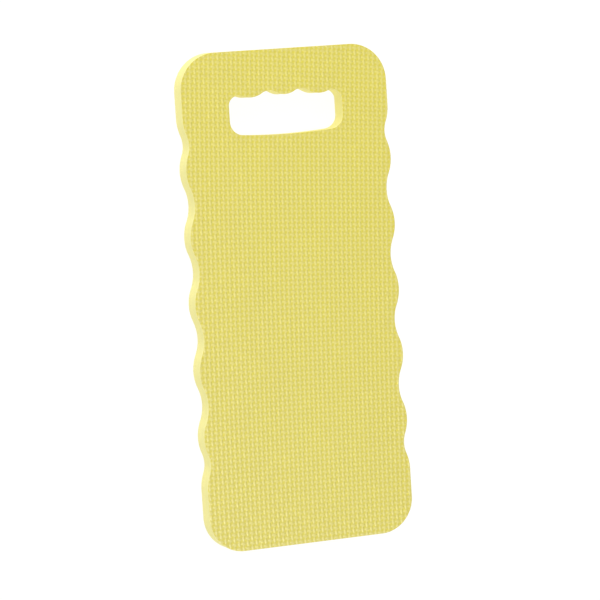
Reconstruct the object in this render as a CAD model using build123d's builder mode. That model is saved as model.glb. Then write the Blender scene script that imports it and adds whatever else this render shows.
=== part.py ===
from build123d import *
import os
from math import hypot, sqrt

# Kneeling pad: one die-cut slab of closed-cell foam with an embossed skin on
# each broad face, two scalloped long sides and a hand hole at one end.
#
# Frame: the pad lies flat.  X runs across the width, +Y runs along the length
# towards the hand hole, +Z is up through the thickness.  The origin is the
# middle of the underside.  Millimetres.

# ---------------------------------------------------------------- dimensions
pad_length = 400.0
pad_width = 175.0
pad_thickness = 17.5          # over the crests of both embossed skins
skin_thickness = 1.5          # each embossed skin

corner_r_handle = 30.0        # outer corners at the hand-hole end
corner_r_foot = 28.0          # outer corners at the other end

# Scalloped long sides: crests stand at the full width, recesses cut inwards.
crest_pitch = 53.5            # crest to crest, the middle crest is at Y = 0
crest_radius = 34.5
recess_depth = 5.4            # the four full recesses on each side
end_recess_depth = 4.0        # the shallower recess at each end of a side
end_recess_y = 127.8          # distance of those two from the pad's middle
scallop_end_y = 149.0         # beyond this the side is straight

# Hand hole: flat-bottomed slot with three finger bumps on its outer edge.
hole_width = 96.0
hole_low_y = 131.6            # lowest point of the edge nearest the middle
hole_low_rise = 1.5           # that edge bows up by this much at its corners
hole_low_corner_r = 11.0
hole_top_corner_r = 8.0
notch_x = 13.6                # the two notches between the finger bumps
notch_top_y = 167.1
notch_radius = 10.5
middle_bump_y = 163.3         # lowest point of the middle finger bump
outer_bump_x = 29.5
outer_bump_y = 162.4

core_thickness = pad_thickness - 2 * skin_thickness
half_width = pad_width / 2
half_length = pad_length / 2
half_hole = hole_width / 2


# ------------------------------------------------------------ plane geometry
def radius_sum(run, rise):
    """Sum of the radii of two arcs that meet tangentially, one curving each
    way, whose extreme points lie run apart along and rise apart across."""
    return (run * run + rise * rise) / (2 * rise)


def tangent_point(c1, r1, c2, r2):
    """Where two outside-touching circles meet."""
    f = r1 / (r1 + r2)
    return (c1[0] + f * (c2[0] - c1[0]), c1[1] + f * (c2[1] - c1[1]))


def arc_middle(centre, radius, start, end):
    """Middle of the arc of less than half a turn from start to end."""
    mx = (start[0] + end[0]) / 2 - centre[0]
    my = (start[1] + end[1]) / 2 - centre[1]
    d = hypot(mx, my)
    return (centre[0] + radius * mx / d, centre[1] + radius * my / d)


def mirrored(p):
    return (-p[0], p[1])


# Scallops on the +X side as circles (extreme Y, depth below full width,
# radius, +1 for a crest or -1 for a recess), from the hand-hole end down.
recess_radius = radius_sum(crest_pitch / 2, recess_depth) - crest_radius
end_recess_radius = (
    radius_sum(end_recess_y - 2 * crest_pitch, end_recess_depth) - crest_radius
)
run_out_radius = (
    radius_sum(scallop_end_y - end_recess_y, end_recess_depth) - end_recess_radius
)

scallops = [
    (scallop_end_y, 0.0, run_out_radius, 1),
    (end_recess_y, end_recess_depth, end_recess_radius, -1),
]
for i in range(5):
    y_crest = (2 - i) * crest_pitch
    scallops.append((y_crest, 0.0, crest_radius, 1))
    if i < 4:
        scallops.append((y_crest - crest_pitch / 2, recess_depth, recess_radius, -1))
scallops += [
    (-end_recess_y, end_recess_depth, end_recess_radius, -1),
    (-scallop_end_y, 0.0, run_out_radius, 1),
]

circles = []
for y, depth, r, way in scallops:
    circles.append(((half_width - depth - way * r, y), r))

side_points = [(half_width, scallop_end_y)]
for (c1, r1), (c2, r2) in zip(circles[:-1], circles[1:]):
    side_points.append(tangent_point(c1, r1, c2, r2))
side_points.append((half_width, -scallop_end_y))

side_arcs = []
for (c, r), p, q in zip(circles, side_points[:-1], side_points[1:]):
    side_arcs.append((p, arc_middle(c, r, p, q), q))

# Circles of the hand hole's +X half.
middle_bump_r = radius_sum(notch_x, notch_top_y - middle_bump_y) - notch_radius
outer_bump_r = (
    radius_sum(outer_bump_x - notch_x, notch_top_y - outer_bump_y) - notch_radius
)
middle_bump_c = (0.0, middle_bump_y + middle_bump_r)
notch_c = (notch_x, notch_top_y - notch_radius)
outer_bump_c = (outer_bump_x, outer_bump_y + outer_bump_r)
top_corner_x = half_hole - hole_top_corner_r
top_corner_c = (
    top_corner_x,
    outer_bump_c[1]
    - sqrt((outer_bump_r + hole_top_corner_r) ** 2 - (top_corner_x - outer_bump_x) ** 2),
)
low_corner_c = (
    half_hole - hole_low_corner_r,
    hole_low_y + hole_low_rise + hole_low_corner_r,
)
# Bowed lower edge: a large circle that the two lower corners touch from inside.
rise_to_corner = hole_low_rise + hole_low_corner_r
bow_r = (low_corner_c[0] ** 2 + rise_to_corner**2 - hole_low_corner_r**2) / (
    2 * (rise_to_corner - hole_low_corner_r)
)
bow_c = (0.0, hole_low_y + bow_r)
bow_f = bow_r / (bow_r - hole_low_corner_r)
bow_end = (
    bow_c[0] + bow_f * (low_corner_c[0] - bow_c[0]),
    bow_c[1] + bow_f * (low_corner_c[1] - bow_c[1]),
)

bump_start = tangent_point(middle_bump_c, middle_bump_r, notch_c, notch_radius)
notch_end = tangent_point(notch_c, notch_radius, outer_bump_c, outer_bump_r)
outer_end = tangent_point(outer_bump_c, outer_bump_r, top_corner_c, hole_top_corner_r)
corner_end = (half_hole, top_corner_c[1])
wall_end = (half_hole, low_corner_c[1])

hole_arcs = [
    (bump_start, arc_middle(notch_c, notch_radius, bump_start, notch_end), notch_end),
    (notch_end, arc_middle(outer_bump_c, outer_bump_r, notch_end, outer_end), outer_end),
    (
        outer_end,
        arc_middle(top_corner_c, hole_top_corner_r, outer_end, corner_end),
        corner_end,
    ),
    (
        wall_end,
        arc_middle(low_corner_c, hole_low_corner_r, wall_end, bow_end),
        bow_end,
    ),
]

# ------------------------------------------------------------- shared profile
# The die cuts every layer to the same outline and the same hand hole.
with BuildSketch(Plane.XY) as profile:
    with BuildLine() as outline:
        for p, m, q in side_arcs:
            ThreePointArc(p, m, q)
            ThreePointArc(mirrored(p), mirrored(m), mirrored(q))
        for s in (1, -1):
            Line(
                (s * half_width, scallop_end_y),
                (s * half_width, half_length - corner_r_handle),
            )
            Line(
                (s * half_width, -scallop_end_y),
                (s * half_width, -half_length + corner_r_foot),
            )
            c = (half_width - corner_r_handle, half_length - corner_r_handle)
            a = (half_width, c[1])
            b = (c[0], half_length)
            m = arc_middle(c, corner_r_handle, a, b)
            ThreePointArc((s * a[0], a[1]), (s * m[0], m[1]), (s * b[0], b[1]))
            c = (half_width - corner_r_foot, -half_length + corner_r_foot)
            a = (half_width, c[1])
            b = (c[0], -half_length)
            m = arc_middle(c, corner_r_foot, a, b)
            ThreePointArc((s * a[0], a[1]), (s * m[0], m[1]), (s * b[0], b[1]))
        Line(
            (-half_width + corner_r_handle, half_length),
            (half_width - corner_r_handle, half_length),
        )
        Line(
            (-half_width + corner_r_foot, -half_length),
            (half_width - corner_r_foot, -half_length),
        )
    make_face()
    with BuildLine() as hand_hole:
        ThreePointArc(
            mirrored(bump_start), (0, middle_bump_y), bump_start
        )
        for p, m, q in hole_arcs:
            ThreePointArc(p, m, q)
            ThreePointArc(mirrored(p), mirrored(m), mirrored(q))
        for s in (1, -1):
            Line((s * half_hole, corner_end[1]), (s * half_hole, wall_end[1]))
        ThreePointArc(mirrored(bow_end), (0, hole_low_y), bow_end)
    make_face(mode=Mode.SUBTRACT)

# ---------------------------------------------------------------- the layers
# Underside skin, which rests on the ground.
with BuildPart() as bottom_skin:
    with BuildSketch(Plane.XY):
        add(profile.sketch)
    extrude(amount=skin_thickness)

# Plain foam between the two skins; its cut edge is the visible side wall.
with BuildPart() as foam_core:
    with BuildSketch(Plane.XY.offset(skin_thickness)):
        add(profile.sketch)
    extrude(amount=core_thickness)

# Upper skin, which the knees rest on.
with BuildPart() as top_skin:
    with BuildSketch(Plane.XY.offset(pad_thickness - skin_thickness)):
        add(profile.sketch)
    extrude(amount=skin_thickness)

bottom_skin.part.label = "bottom_skin"
foam_core.part.label = "foam_core"
top_skin.part.label = "top_skin"

os.makedirs("parts", exist_ok=True)
export_step(bottom_skin.part, "parts/bottom_skin.step")
export_step(foam_core.part, "parts/foam_core.step")
export_step(top_skin.part, "parts/top_skin.step")

for piece in (bottom_skin, foam_core, top_skin):
    box = piece.part.bounding_box()
    print(
        piece.part.label,
        "volume %.0f mm3" % piece.part.volume,
        "box X %.2f %.2f Y %.2f %.2f Z %.2f %.2f"
        % (box.min.X, box.max.X, box.min.Y, box.max.Y, box.min.Z, box.max.Z),
    )
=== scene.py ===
import math

import bpy
import numpy as np
from mathutils import Matrix, Vector, kdtree
from mathutils.geometry import delaunay_2d_cdt


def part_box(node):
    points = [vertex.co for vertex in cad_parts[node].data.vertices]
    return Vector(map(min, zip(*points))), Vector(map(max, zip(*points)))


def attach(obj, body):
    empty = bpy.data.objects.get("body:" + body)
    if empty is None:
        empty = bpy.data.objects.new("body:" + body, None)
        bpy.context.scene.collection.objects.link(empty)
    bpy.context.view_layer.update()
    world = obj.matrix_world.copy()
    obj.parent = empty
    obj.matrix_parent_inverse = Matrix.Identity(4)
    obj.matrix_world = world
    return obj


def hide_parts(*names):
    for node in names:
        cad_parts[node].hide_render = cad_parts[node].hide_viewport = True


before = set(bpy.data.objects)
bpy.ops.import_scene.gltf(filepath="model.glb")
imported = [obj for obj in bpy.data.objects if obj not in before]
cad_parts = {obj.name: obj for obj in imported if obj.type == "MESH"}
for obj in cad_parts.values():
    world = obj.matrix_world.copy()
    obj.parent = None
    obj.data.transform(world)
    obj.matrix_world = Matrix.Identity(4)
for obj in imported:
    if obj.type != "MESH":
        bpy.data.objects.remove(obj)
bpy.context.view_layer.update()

MM = 0.001

# ------------------------------------------------------------------ the frame
# The three CAD layers give the size and the heights of everything below.
top_lo, top_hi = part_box("top_skin")
core_lo, core_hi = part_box("foam_core")
bot_lo, bot_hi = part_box("bottom_skin")
Z_TOP = top_hi.z / MM                # crests of the upper skin
Z_UPPER = core_hi.z / MM             # upper skin meets the core
Z_LOWER = core_lo.z / MM             # lower skin meets the core
Z_BOT = bot_lo.z / MM                # crests of the lower skin
HALF_W = (core_hi.x - core_lo.x) / 2 / MM
HALF_L = (core_hi.y - core_lo.y) / 2 / MM

# -------------------------------------------------------- the die-cut outline
# The same tangent arcs as the CAD layers, in millimetres, so that the walls
# are smooth and not the CAD model's facets.
R_HANDLE, R_FOOT = 30.0, 28.0
PITCH, R_CREST = 53.5, 34.5
DEPTH_IN, DEPTH_END = 5.4, 4.0
Y_END, Y_RUN = 127.8, 149.0
HOLE_HALF, HOLE_LOW, HOLE_RISE = 48.0, 131.6, 1.5
HOLE_R_LOW, HOLE_R_TOP = 11.0, 8.0
NOTCH_X, NOTCH_Y, NOTCH_R = 13.6, 167.1, 10.5
BUMP_MID_Y, BUMP_OUT_X, BUMP_OUT_Y = 163.3, 29.5, 162.4
STEP = 0.9                           # spacing of the points along the outline


def radius_sum(run, rise):
    return (run * run + rise * rise) / (2 * rise)


def touch(a, b):
    """Where two circles that touch from outside meet."""
    (ca, ra), (cb, rb) = a, b
    f = ra / (ra + rb)
    return (ca[0] + f * (cb[0] - ca[0]), ca[1] + f * (cb[1] - ca[1]))


def arc(circle, p, q):
    """Points along a circle the short way from p to q, without q."""
    (cx, cy), r = circle
    a = math.atan2(p[1] - cy, p[0] - cx)
    b = math.atan2(q[1] - cy, q[0] - cx)
    d = (b - a + math.pi) % (2 * math.pi) - math.pi
    n = max(2, math.ceil(abs(d) * r / STEP))
    t = a + d * np.arange(n) / n
    return np.stack([cx + r * np.cos(t), cy + r * np.sin(t)], 1)


def line(p, q):
    n = max(1, math.ceil(math.dist(p, q) / STEP))
    t = np.arange(n)[:, None] / n
    return np.array(p) * (1 - t) + np.array(q) * t


def both_sides(right):
    """Closes a right half that starts and ends on the middle line."""
    left = right[::-1] * [-1, 1]
    return np.concatenate([right, left[1:-1]])


def outer_outline():
    """Counter-clockwise from the middle of the foot end."""
    r_in = radius_sum(PITCH / 2, DEPTH_IN) - R_CREST
    r_end = radius_sum(Y_END - 2 * PITCH, DEPTH_END) - R_CREST
    r_run = radius_sum(Y_RUN - Y_END, DEPTH_END) - r_end
    crest = lambda y, r: ((HALF_W - r, y), r)
    recess = lambda y, d, r: ((HALF_W - d + r, y), r)
    circles = [crest(-Y_RUN, r_run), recess(-Y_END, DEPTH_END, r_end)]
    for k in range(-2, 3):
        circles.append(crest(k * PITCH, R_CREST))
        if k < 2:
            circles.append(recess((k + 0.5) * PITCH, DEPTH_IN, r_in))
    circles += [recess(Y_END, DEPTH_END, r_end), crest(Y_RUN, r_run)]
    points = [(HALF_W, -Y_RUN)]
    points += [touch(a, b) for a, b in zip(circles[:-1], circles[1:])]
    points.append((HALF_W, Y_RUN))
    foot = ((HALF_W - R_FOOT, -HALF_L + R_FOOT), R_FOOT)
    head = ((HALF_W - R_HANDLE, HALF_L - R_HANDLE), R_HANDLE)
    parts = [
        line((0, -HALF_L), (HALF_W - R_FOOT, -HALF_L)),
        arc(foot, (HALF_W - R_FOOT, -HALF_L), (HALF_W, -HALF_L + R_FOOT)),
        line((HALF_W, -HALF_L + R_FOOT), (HALF_W, -Y_RUN)),
    ]
    parts += [arc(c, p, q) for c, p, q in zip(circles, points[:-1], points[1:])]
    parts += [
        line((HALF_W, Y_RUN), (HALF_W, HALF_L - R_HANDLE)),
        arc(head, (HALF_W, HALF_L - R_HANDLE), (HALF_W - R_HANDLE, HALF_L)),
        line((HALF_W - R_HANDLE, HALF_L), (0, HALF_L)),
        [(0, HALF_L)],
    ]
    return both_sides(np.concatenate(parts))


def hole_outline():
    """Counter-clockwise round the hand hole from the middle of its low edge."""
    r_mid = radius_sum(NOTCH_X, NOTCH_Y - BUMP_MID_Y) - NOTCH_R
    r_out = radius_sum(BUMP_OUT_X - NOTCH_X, NOTCH_Y - BUMP_OUT_Y) - NOTCH_R
    mid = ((0.0, BUMP_MID_Y + r_mid), r_mid)
    notch = ((NOTCH_X, NOTCH_Y - NOTCH_R), NOTCH_R)
    out = ((BUMP_OUT_X, BUMP_OUT_Y + r_out), r_out)
    tx = HOLE_HALF - HOLE_R_TOP
    ty = out[0][1] - math.sqrt((r_out + HOLE_R_TOP) ** 2 - (tx - BUMP_OUT_X) ** 2)
    top = ((tx, ty), HOLE_R_TOP)
    lx, rise = HOLE_HALF - HOLE_R_LOW, HOLE_RISE + HOLE_R_LOW
    low = ((lx, HOLE_LOW + rise), HOLE_R_LOW)
    r_bow = (lx**2 + rise**2 - HOLE_R_LOW**2) / (2 * (rise - HOLE_R_LOW))
    bow = ((0.0, HOLE_LOW + r_bow), r_bow)
    f = r_bow / (r_bow - HOLE_R_LOW)
    bow_end = (f * lx, bow[0][1] + f * (low[0][1] - bow[0][1]))
    a, b, c = touch(out, top), touch(notch, out), touch(mid, notch)
    parts = [
        arc(bow, (0, HOLE_LOW), bow_end),
        arc(low, bow_end, (HOLE_HALF, low[0][1])),
        line((HOLE_HALF, low[0][1]), (HOLE_HALF, ty)),
        arc(top, (HOLE_HALF, ty), a),
        arc(out, a, b),
        arc(notch, b, c),
        arc(mid, c, (0, BUMP_MID_Y)),
        [(0, BUMP_MID_Y)],
    ]
    return both_sides(np.concatenate(parts))


def outward(loop, sign):
    t = np.roll(loop, -1, 0) - np.roll(loop, 1, 0)
    n = np.stack([t[:, 1], -t[:, 0]], 1) * sign
    return n / np.linalg.norm(n, axis=1)[:, None]


OUTER, HOLE = outer_outline(), hole_outline()
N_OUTER, N_HOLE = outward(OUTER, 1), outward(HOLE, -1)   # both out of the foam
RING = np.concatenate([OUTER, HOLE])
RING_N = np.concatenate([N_OUTER, N_HOLE])
SIZES = (len(OUTER), len(HOLE))
NRING = len(RING)

assert abs(OUTER[:, 0].max() - HALF_W) < 0.01 and abs(OUTER[:, 1].max() - HALF_L) < 0.01

tree = kdtree.KDTree(NRING)
for i, (x, y) in enumerate(RING):
    tree.insert((x, y, 0.0), i)
tree.balance()


def depth_inside(xy):
    """Distance of points from the cut edge, positive inside the foam."""
    out = np.empty(len(xy))
    for i, (x, y) in enumerate(xy):
        _, k, _ = tree.find((x, y, 0.0))
        out[i] = (RING[k, 0] - x) * RING_N[k, 0] + (RING[k, 1] - y) * RING_N[k, 1]
    return out


def inside(points, loop):
    """Even-odd test of points against a closed loop."""
    a, b = loop, np.roll(loop, -1, 0)
    res = np.zeros(len(points), bool)
    for s in range(0, len(points), 4000):
        p = points[s:s + 4000]
        y = p[:, 1:2]
        cross = (a[None, :, 1] > y) != (b[None, :, 1] > y)
        with np.errstate(divide="ignore", invalid="ignore"):
            xs = a[:, 0] + (y - a[:, 1]) / (b[:, 1] - a[:, 1]) * (b[:, 0] - a[:, 0])
        res[s:s + 4000] = ((cross & (p[:, 0:1] < xs)).sum(1) % 2) == 1
    return res


def ring_edges(start=0):
    e = []
    for n in SIZES:
        e += [(start + i, start + (i + 1) % n) for i in range(n)]
        start += n
    return e


# ------------------------------------------------------- the embossed surface
# A plain weave of wide flat threads, pressed into the foam.  A cell holds one
# float: where the two cell numbers add up to an even one it runs along the
# pad, and elsewhere across it.  The pattern is turned a little against the
# die-cut outline and not quite straight, as embossed sheet is.
class Weave:
    def __init__(self, u, v, mirror=False):
        self.cu, self.cv, self.mirror = u, v, mirror

    def cell(self, xy):
        x, y = xy[:, 0] / 100, xy[:, 1] / 100
        if self.mirror:
            x = -x
        t = np.stack([np.ones_like(x), x, y, x * x, x * y, y * y], 1)
        return np.stack([t @ self.cu, t @ self.cv], 1)

    def place(self, uv):
        """The point in millimetres at a cell position."""
        m = np.array([[self.cu[1], self.cu[2]], [self.cv[1], self.cv[2]]])
        inv = np.linalg.inv(m)
        xy = (uv - [self.cu[0], self.cv[0]]) @ inv.T * 100
        flip = [-1, 1] if self.mirror else [1, 1]
        for _ in range(6):
            xy = xy + (uv - self.cell(xy * flip)) @ inv.T * 100
        return xy * flip


CELL = 3.85                          # millimetres between threads
# Each thread: how far it rises and dips along its length, half its width, how
# much lower its edges are than its middle, and how round it is across.
ALONG = dict(float=0.266, half=1.58, edge=0.72, round=1.5, lift=0.0, twist=0.085)
ACROSS = dict(float=0.319, half=1.11, edge=1.43, round=6.0, lift=-0.062, twist=0.043)
PIT = 0.168                          # the flat bottom of the corner pits
SOFT = 0.01
SOFTEN = 0.31                        # pressed foam is rounder than thread


def wrap(d, period):
    return (d + period / 2) % period - period / 2


def thread(s, t, k, shift, q):
    """One of the two threads in a repeat; s runs along it and t across it."""
    ph = wrap(s - k * CELL - shift, 2 * CELL)
    d = wrap(t - k * CELL + q["twist"] * np.sin(np.pi * ph / CELL) * CELL / np.pi, 2 * CELL)
    t = np.abs(d) / q["half"]
    rise = q["float"] * np.cos(np.pi * ph / CELL) + q["lift"]
    return rise - q["edge"] * np.minimum(t, 1) ** q["round"] - 3 * np.maximum(t - 1, 0)


def weave_height(x, y):
    """Height in millimetres, before the crests are set level with the CAD face."""
    h = [thread(y, x, k, 0.0, ALONG) for k in (0, 1)]
    h += [thread(x, y, k, CELL, ACROSS) for k in (0, 1)]
    h = np.stack(h + [np.full_like(x, -PIT)])
    m = h.max(0)
    return SOFT * np.log(np.exp((h - m) / SOFT).sum(0)) + m


# The relief is softened once on a fine grid of one two-by-two repeat, and read
# from there.
GRID = 96
_g = (np.arange(GRID) + 0.5) / GRID * 2 * CELL
_gx, _gy = np.meshgrid(_g, _g)


def blur(a, sigma_mm):
    f = np.fft.fftfreq(GRID, 2 * CELL / GRID)
    k = np.exp(-2 * (np.pi * sigma_mm) ** 2 * (f[None, :] ** 2 + f[:, None] ** 2))
    return np.real(np.fft.ifft2(np.fft.fft2(a) * k))


HEIGHT = blur(weave_height(_gx, _gy), SOFTEN)
RELIEF_TOP, RELIEF_LOW = HEIGHT.max(), HEIGHT.min()
# painted shade: the deepest parts of the relief, the corner pits, get a darker and more saturated colour
# that stands in for the shade and colour bleeding inside them
PIT_SHADE = np.clip((HEIGHT - RELIEF_LOW) / (RELIEF_TOP - RELIEF_LOW) / 0.187, 0, 1)
PIT_SHADE = 1 - PIT_SHADE**2 * (3 - 2 * PIT_SHADE)


def read(field, uv):
    q = (uv % 2) / 2 * GRID - 0.5
    i = np.floor(q).astype(int)
    f = q - i
    i0, i1 = i % GRID, (i + 1) % GRID
    return (
        field[i0[:, 1], i0[:, 0]] * (1 - f[:, 0]) * (1 - f[:, 1])
        + field[i0[:, 1], i1[:, 0]] * f[:, 0] * (1 - f[:, 1])
        + field[i1[:, 1], i0[:, 0]] * (1 - f[:, 0]) * f[:, 1]
        + field[i1[:, 1], i1[:, 0]] * f[:, 0] * f[:, 1]
    )


def relief(uv):
    """Depth below the crests, in millimetres, 0 at the highest crest."""
    return RELIEF_TOP - read(HEIGHT, uv)


WEAVE_TOP = Weave(
    np.array([-0.973, 25.953, -1.213, -0.242, -0.140, -0.139]),
    np.array([-0.150, 1.320, 25.953, 0.260, 0.562, 0.128]),
)
WEAVE_BOT = Weave(
    np.array([0.31, 25.97, 0.62, 0.18, -0.20, 0.10]),
    np.array([0.44, -0.60, 25.96, -0.21, 0.30, -0.12]),
    mirror=True,
)

# mesh lines in each cell, at the pits, the thread edges and between
LINES_U = np.array([0.0, 0.19, 0.39, 0.61, 0.81])
LINES_V = np.array([0.0, 0.20, 0.50, 0.80])
NU, NV = len(LINES_U), len(LINES_V)
ROUND = ((0.36, 0.0), (0.10, 0.07), (0.0, 0.26))   # inset and drop of the cut rim


def mesh_line(w, lines):
    """The number of the mesh line at or below a cell position."""
    whole = np.floor(w - 0.5).astype(int)
    part = np.searchsorted(lines, w - 0.5 - whole, side="right") - 1
    return whole * len(lines) + part


def wall_inset(z):
    """The die leaves the wall very slightly hollow."""
    t = (z - Z_BOT) / (Z_TOP - Z_BOT) * 2 - 1
    return 0.12 * (1 - t * t)


def mesh_object(name, verts, faces, materials, index=None, sharp=None, attribute=None, normals=None):
    me = bpy.data.meshes.new(name)
    me.from_pydata((np.asarray(verts) * MM).tolist(), [], [tuple(f) for f in faces])
    me.update()
    for m in materials:
        me.materials.append(m)
    if index is not None:
        me.polygons.foreach_set("material_index", np.asarray(index, np.int32))
    me.polygons.foreach_set("use_smooth", np.ones(len(me.polygons), bool))
    # the painted pit shade, stored per vertex for the material to read
    if attribute is not None:
        a = me.attributes.new("pit_shade", "FLOAT", "POINT")
        a.data.foreach_set("value", np.asarray(attribute, np.float32))
    if sharp is not None:
        n = len(me.vertices)
        key = np.array([min(a, b) * n + max(a, b) for a, b in sharp], np.int64)
        e = np.empty(len(me.edges) * 2, np.int64)
        me.edges.foreach_get("vertices", e)
        e = e.reshape(-1, 2)
        ek = e.min(1) * n + e.max(1)
        s = me.attributes.new("sharp_edge", "BOOLEAN", "EDGE")
        s.data.foreach_set("value", np.isin(ek, key))
    me.validate()
    if normals is not None:
        # face corners of the relief take its true slope; the rest keep their own
        loops = np.empty(len(me.loops), np.int32)
        me.loops.foreach_get("vertex_index", loops)
        own = np.empty(len(me.loops) * 3, np.float32)
        me.corner_normals.foreach_get("vector", own)
        own = own.reshape(-1, 3)
        n = len(normals)
        own[loops < n] = normals[loops[loops < n]]
        me.normals_split_custom_set(own.tolist())
    ob = bpy.data.objects.new(name, me)
    bpy.context.scene.collection.objects.link(ob)
    return ob


def flat_cap():
    """Triangles that fill the outline less the hole, over the ring's points."""
    pts = [Vector((float(x), float(y))) for x, y in RING]
    v, _, f, ov, _, _ = delaunay_2d_cdt(pts, ring_edges(), [], 0, 1e-7)
    back = [o[0] if o else -1 for o in ov]
    tri = np.array([[back[i] for i in t] for t in f if len(t) == 3])
    tri = tri[(tri >= 0).all(1)]
    c = RING[tri].mean(1)
    keep = inside(c, OUTER) & ~inside(c, HOLE)
    return orient(tri[keep], RING)


def orient(tri, xy):
    """Counter-clockwise seen from above."""
    a, b, c = xy[tri[:, 0]], xy[tri[:, 1]], xy[tri[:, 2]]
    s = (b[:, 0] - a[:, 0]) * (c[:, 1] - a[:, 1]) - (b[:, 1] - a[:, 1]) * (c[:, 0] - a[:, 0])
    tri = tri.copy()
    tri[s < 0] = tri[s < 0][:, ::-1]
    return tri[np.abs(s) > 1e-9]


CAP = flat_cap()


def ring_strip(a, b):
    """Quads between two rings of points, the first above the second."""
    quads, s = [], 0
    for k, n in enumerate(SIZES):
        for i in range(n):
            p, q = s + i, s + (i + 1) % n
            quads.append((a + q, a + p, b + p, b + q) if k == 0 else (a + p, a + q, b + q, b + p))
        s += n
    return quads


def skin(name, weave, z_face, z_inner, up, materials):
    """One embossed skin: the woven relief, the cut rim and the wall below it."""
    # the mesh grid follows the weave, so that pits and crests fall on vertices
    corners = np.array([(sx * (HALF_W + 6), sy * (HALF_L + 6)) for sx in (-1, 1) for sy in (-1, 1)])
    uv = weave.cell(corners)
    i0, j0 = np.floor(uv.min(0) * [NU, NV]).astype(int) - NU
    i1, j1 = np.ceil(uv.max(0) * [NU, NV]).astype(int) + NU
    I, J = np.meshgrid(np.arange(i0, i1), np.arange(j0, j1))
    i, j = I.ravel(), J.ravel()
    UV = np.stack([i // NU + LINES_U[i % NU] + 0.5, j // NV + LINES_V[j % NV] + 0.5], 1)
    XY = weave.place(UV)
    near = (np.abs(XY[:, 0]) < HALF_W + 1) & (np.abs(XY[:, 1]) < HALF_L + 1)
    d = np.full(len(XY), -9.0)
    d[near] = depth_inside(XY[near])
    ni, nj = i1 - i0, j1 - j0
    ok = (d > ROUND[0][0] + 0.30).reshape(nj, ni)
    q = ok[:-1, :-1] & ok[1:, :-1] & ok[:-1, 1:] & ok[1:, 1:]
    idx = np.arange(ni * nj).reshape(nj, ni)
    quads = np.stack([idx[:-1, :-1][q], idx[:-1, 1:][q], idx[1:, 1:][q], idx[1:, :-1][q]], 1)
    if weave.mirror:
        quads = quads[:, ::-1]
    used = np.unique(quads)
    new = np.full(ni * nj, -1)
    new[used] = np.arange(len(used))
    quads = new[quads]
    grid_xy = XY[used]

    # the band between the grid and the rim
    e = np.concatenate([quads[:, [0, 1]], quads[:, [1, 2]], quads[:, [2, 3]], quads[:, [3, 0]]])
    es = np.sort(e, 1)
    uniq, count = np.unique(es[:, 0] * len(used) + es[:, 1], return_counts=True)
    rim = uniq[count == 1]
    rim = np.stack([rim // len(used), rim % len(used)], 1)
    rim_v = np.unique(rim)
    local = {int(v): k for k, v in enumerate(rim_v)}
    first = RING - RING_N * ROUND[0][0]
    pts = [Vector(map(float, grid_xy[v])) for v in rim_v] + [Vector(map(float, p)) for p in first]
    cons = [(local[int(a)], local[int(b)]) for a, b in rim] + ring_edges(len(rim_v))
    v, _, f, ov, _, _ = delaunay_2d_cdt(pts, cons, [], 0, 1e-7)
    code = np.array([o[0] if o else -1 for o in ov])
    tri = np.array([t for t in f if len(t) == 3])
    tri = code[tri]
    tri = tri[(tri >= 0).all(1)]
    co = np.array([[p.x, p.y] for p in pts])
    c = co[tri].mean(1)
    o_loop, h_loop = first[:SIZES[0]], first[SIZES[0]:]
    keep = inside(c, o_loop) & ~inside(c, h_loop)
    cuv = weave.cell(c)
    ci = mesh_line(cuv[:, 0], LINES_U) - i0
    cj = mesh_line(cuv[:, 1], LINES_V) - j0
    inb = (ci >= 0) & (ci < ni - 1) & (cj >= 0) & (cj < nj - 1)
    on_grid = np.zeros(len(c), bool)
    on_grid[inb] = q[cj[inb], ci[inb]]
    tri = orient(tri[keep & ~on_grid], co)
    base = len(used)
    to_mesh = np.concatenate([rim_v, base + np.arange(NRING)])
    tri = to_mesh[tri]

    # heights
    sgn = 1 if up else -1
    xy = [grid_xy]
    dep = relief(weave.cell(grid_xy))
    z = [z_face - sgn * dep]
    # painted pit shade for every vertex: full in the corner pits, fading out over the cut rim, none on
    # the walls
    pit_shades = [read(PIT_SHADE, weave.cell(grid_xy))]
    for inset, drop in ROUND:
        p = RING - RING_N * inset
        dp = relief(weave.cell(RING - RING_N * 0.2))
        xy.append(p)
        z.append(z_face - sgn * (dp + drop))
        pit_shades.append(read(PIT_SHADE, weave.cell(p)) * (1 - drop / ROUND[-1][1]))
    starts = [base + k * NRING for k in range(len(ROUND))]
    # walls down to the core
    n_wall = 2
    z_rim = z[-1]
    for k in range(1, n_wall + 1):
        zz = z_rim + (z_inner - z_rim) * k / n_wall
        xy.append(RING - RING_N * wall_inset(zz)[:, None])
        z.append(zz)
        pit_shades.append(np.zeros(NRING))
        starts.append(base + (len(ROUND) + k - 1) * NRING)
    verts = np.column_stack([np.concatenate(xy), np.concatenate(z)])
    faces = [tuple(map(int, t)) for t in quads] + [tuple(map(int, t)) for t in tri]
    mats = [0] * len(faces)
    for k in range(len(starts) - 1):
        s = ring_strip(starts[k], starts[k + 1])
        faces += s
        mats += [0 if k < len(ROUND) - 2 else 1] * len(s)
    inner = CAP[:, ::-1] + starts[-1]
    faces += [tuple(map(int, t)) for t in inner]
    mats += [1] * len(inner)
    if not up:
        faces = [t[::-1] for t in faces]
    sharp = ring_edges(starts[len(ROUND) - 2]) + ring_edges(starts[-1])
    e = 0.05
    dx = relief(weave.cell(grid_xy + [e, 0])) - relief(weave.cell(grid_xy - [e, 0]))
    dy = relief(weave.cell(grid_xy + [0, e])) - relief(weave.cell(grid_xy - [0, e]))
    n = np.column_stack([dx / (2 * e), dy / (2 * e), np.ones(len(dx))])
    n = n / np.linalg.norm(n, axis=1)[:, None] * [1, 1, sgn]
    return mesh_object(name, verts, faces, materials, mats, sharp, np.concatenate(pit_shades), n)


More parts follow.
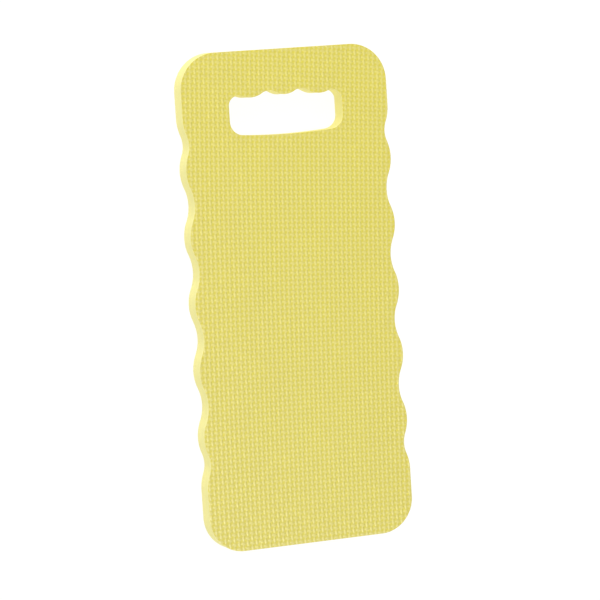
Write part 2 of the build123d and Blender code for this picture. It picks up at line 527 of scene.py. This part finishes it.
def core(name, materials):
    rows = 9
    zs = np.linspace(Z_UPPER, Z_LOWER, rows)
    verts, faces = [], []
    for z in zs:
        verts.append(np.column_stack([RING - RING_N * wall_inset(z), np.full(NRING, z)]))
    for k in range(rows - 1):
        faces += ring_strip(k * NRING, (k + 1) * NRING)
    faces += [tuple(map(int, t)) for t in CAP]
    faces += [tuple(map(int, t)) for t in CAP[:, ::-1] + (rows - 1) * NRING]
    sharp = ring_edges(0) + ring_edges((rows - 1) * NRING)
    return mesh_object(name, np.concatenate(verts), faces, materials, None, sharp, np.zeros(rows * NRING))


# ------------------------------------------------------------------ materials
def nodes_of(name):
    m = bpy.data.materials.new(name)
    m.use_nodes = True
    nt = m.node_tree
    nt.nodes.clear()
    out = nt.nodes.new("ShaderNodeOutputMaterial")
    b = nt.nodes.new("ShaderNodeBsdfPrincipled")
    nt.links.new(b.outputs["BSDF"], out.inputs["Surface"])
    return m, nt, b


def noise(nt, coord, scale, detail=2.0, rough=0.5):
    n = nt.nodes.new("ShaderNodeTexNoise")
    n.inputs["Scale"].default_value = scale
    n.inputs["Detail"].default_value = detail
    n.inputs["Roughness"].default_value = rough
    nt.links.new(coord, n.inputs["Vector"])
    return n


def ramp(nt, fac, stops):
    r = nt.nodes.new("ShaderNodeValToRGB")
    r.color_ramp.elements[0].position, r.color_ramp.elements[0].color = stops[0]
    r.color_ramp.elements[1].position, r.color_ramp.elements[1].color = stops[-1]
    for p, c in stops[1:-1]:
        e = r.color_ramp.elements.new(p)
        e.color = c
    nt.links.new(fac, r.inputs["Fac"])
    return r


def mix_color(nt, kind, fac, a, b):
    m = nt.nodes.new("ShaderNodeMix")
    m.data_type = "RGBA"
    m.blend_type = kind
    if isinstance(fac, float):
        m.inputs[0].default_value = fac
    else:
        nt.links.new(fac, m.inputs[0])
    for sock, v in ((m.inputs[6], a), (m.inputs[7], b)):
        if isinstance(v, tuple):
            sock.default_value = v
        else:
            nt.links.new(v, sock)
    return m.outputs[2]


def embossed_foam():
    m, nt, b = nodes_of("embossed_foam")
    coord = nt.nodes.new("ShaderNodeTexCoord").outputs["Object"]
    att = nt.nodes.new("ShaderNodeAttribute")
    att.attribute_name = "pit_shade"
    # painted shade: the colour goes toward the darker, deeper yellow where the vertex attribute marks the
    # corner pits
    base = mix_color(nt, "MIX", att.outputs["Fac"], (0.731, 0.644, 0.121, 1), (0.690, 0.589, 0.0125, 1))
    big = noise(nt, coord, 28.0, 3.0)
    tone = ramp(nt, big.outputs["Fac"], [(0.3, (0.98, 0.98, 0.97, 1)), (0.7, (1.0, 1.0, 1.0, 1))])
    col = mix_color(nt, "MULTIPLY", 1.0, base, tone.outputs["Color"])
    nt.links.new(col, b.inputs["Base Color"])
    fine = noise(nt, coord, 2600.0, 3.0, 0.6)
    r = nt.nodes.new("ShaderNodeMapRange")
    r.inputs["To Min"].default_value = 0.583
    r.inputs["To Max"].default_value = 0.683
    nt.links.new(fine.outputs["Fac"], r.inputs["Value"])
    nt.links.new(r.outputs["Result"], b.inputs["Roughness"])
    b.inputs["IOR"].default_value = 1.5
    bump = nt.nodes.new("ShaderNodeBump")
    bump.inputs["Strength"].default_value = 0.25
    bump.inputs["Distance"].default_value = 0.00008
    nt.links.new(fine.outputs["Fac"], bump.inputs["Height"])
    nt.links.new(bump.outputs["Normal"], b.inputs["Normal"])
    return m


def cut_foam():
    m, nt, b = nodes_of("cut_foam")
    coord = nt.nodes.new("ShaderNodeTexCoord").outputs["Object"]
    cells = nt.nodes.new("ShaderNodeTexVoronoi")
    cells.inputs["Scale"].default_value = 2200.0
    nt.links.new(coord, cells.inputs["Vector"])
    fine = noise(nt, coord, 900.0, 3.0, 0.6)
    # the cut walls are paler than the skin: partly the cut foam's own colour, partly painted light that
    # stands in for the bright light the walls catch from the white surroundings
    base = ramp(nt, fine.outputs["Fac"], [
        (0.3, (0.902, 0.837, 0.344, 1)),
        (0.7, (0.932, 0.872, 0.370, 1)),
    ])
    # painted shade: each foam cell is a little darker and yellower towards its middle, where the bump
    # below makes a dimple
    cell = ramp(nt, cells.outputs["Distance"], [(0.0, (0.94, 0.93, 0.88, 1)), (0.35, (1, 1, 1, 1))])
    col = mix_color(nt, "MULTIPLY", 1.0, base.outputs["Color"], cell.outputs["Color"])
    nt.links.new(col, b.inputs["Base Color"])
    b.inputs["Roughness"].default_value = 0.9
    b.inputs["Specular IOR Level"].default_value = 0.03
    bump = nt.nodes.new("ShaderNodeBump")
    bump.inputs["Strength"].default_value = 0.3
    bump.inputs["Distance"].default_value = 0.00012
    nt.links.new(cells.outputs["Distance"], bump.inputs["Height"])
    nt.links.new(bump.outputs["Normal"], b.inputs["Normal"])
    return m


EMBOSSED, CUT = embossed_foam(), cut_foam()

top = skin("embossed_top", WEAVE_TOP, Z_TOP, Z_UPPER, True, [EMBOSSED, CUT])
bottom = skin("embossed_underside", WEAVE_BOT, Z_BOT, Z_LOWER, False, [EMBOSSED, CUT])
slab = core("foam_slab", [CUT])

for piece, node, slot in (
    (top, "top_skin", "foam_skin"),
    (bottom, "bottom_skin", "foam_skin"),
    (slab, "foam_core", "foam_core"),
):
    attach(piece, "root")
    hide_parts(node)

# ---------------------------------------------------------- floor and backdrop
def floor():
    me = bpy.data.meshes.new("floor")
    s = 30.0
    me.from_pydata([(-s, -s, 0), (s, -s, 0), (s, s, 0), (-s, s, 0)], [], [(0, 1, 2, 3)])
    ob = bpy.data.objects.new("floor", me)
    ob.location.z = -0.0001
    bpy.context.scene.collection.objects.link(ob)
    m, nt, b = nodes_of("floor_white")
    b.inputs["Base Color"].default_value = (0.15, 0.15, 0.15, 1)
    b.inputs["Roughness"].default_value = 1.0
    b.inputs["Specular IOR Level"].default_value = 0.0
    b.inputs["Emission Color"].default_value = (1, 1, 1, 1)
    b.inputs["Emission Strength"].default_value = 0.90
    me.materials.append(m)
    return ob


floor()

# ---------------------------------------------------------------------- light
scene = bpy.context.scene
world = bpy.data.worlds.new("studio")
world.use_nodes = True
world.node_tree.nodes["Background"].inputs["Color"].default_value = (1, 1, 1, 1)
world.node_tree.nodes["Background"].inputs["Strength"].default_value = 0.80
scene.world = world
scene.view_settings.view_transform = "Standard"
scene.view_settings.look = "None"
scene.view_settings.exposure = 0.0
scene.view_settings.gamma = 1.0


def area(name, azimuth, elevation, distance, size, power, target=(0, 0, 0.009)):
    """A soft box; azimuth is counter-clockwise from +X."""
    a, e = math.radians(azimuth), math.radians(elevation)
    d = Vector((math.cos(e) * math.cos(a), math.cos(e) * math.sin(a), math.sin(e)))
    li = bpy.data.lights.new(name, "AREA")
    li.shape = "DISK"
    li.size = size
    li.energy = power
    ob = bpy.data.objects.new(name, li)
    ob.location = Vector(target) + d * distance
    ob.rotation_mode = "QUATERNION"
    ob.rotation_quaternion = d.to_track_quat("Z", "Y")
    bpy.context.scene.collection.objects.link(ob)
    return ob


gloss = area("gloss", 235, 20, 3.5, 1.43, 1878.0)
gloss.visible_diffuse = False
area("top", 101, 36, 2.2, 0.9, 12.0)
area("rim", 105, 6, 2.2, 0.4, 5.0)

# --------------------------------------------------------------------- camera
F_PX, S_MM = 2829.0, 0.80475
YAW, PITCH_A, ROLL = (math.radians(a) for a in (19.874, 4.864, 3.737))
TX, TY = -1.15, 2.37
cy, sy = math.cos(YAW), math.sin(YAW)
cp, sp = math.cos(PITCH_A), math.sin(PITCH_A)
cr, sr = math.cos(ROLL), math.sin(ROLL)
R = (
    Matrix(((cr, -sr, 0), (sr, cr, 0), (0, 0, 1)))
    @ Matrix(((1, 0, 0), (0, cp, -sp), (0, sp, cp)))
    @ Matrix(((cy, 0, sy), (0, 1, 0), (-sy, 0, cy)))
)
place = Vector((0, 0, Z_TOP)) - R.transposed() @ Vector((TX, TY, -F_PX * S_MM))
cam_data = bpy.data.cameras.new("camera")
cam_data.sensor_width = 36.0
cam_data.lens = F_PX / 600 * 36.0
cam_data.clip_start, cam_data.clip_end = 0.05, 100.0
cam = bpy.data.objects.new("camera", cam_data)
cam.matrix_world = Matrix.Translation(place * MM) @ R.transposed().to_4x4()
scene.collection.objects.link(cam)
scene.camera = cam
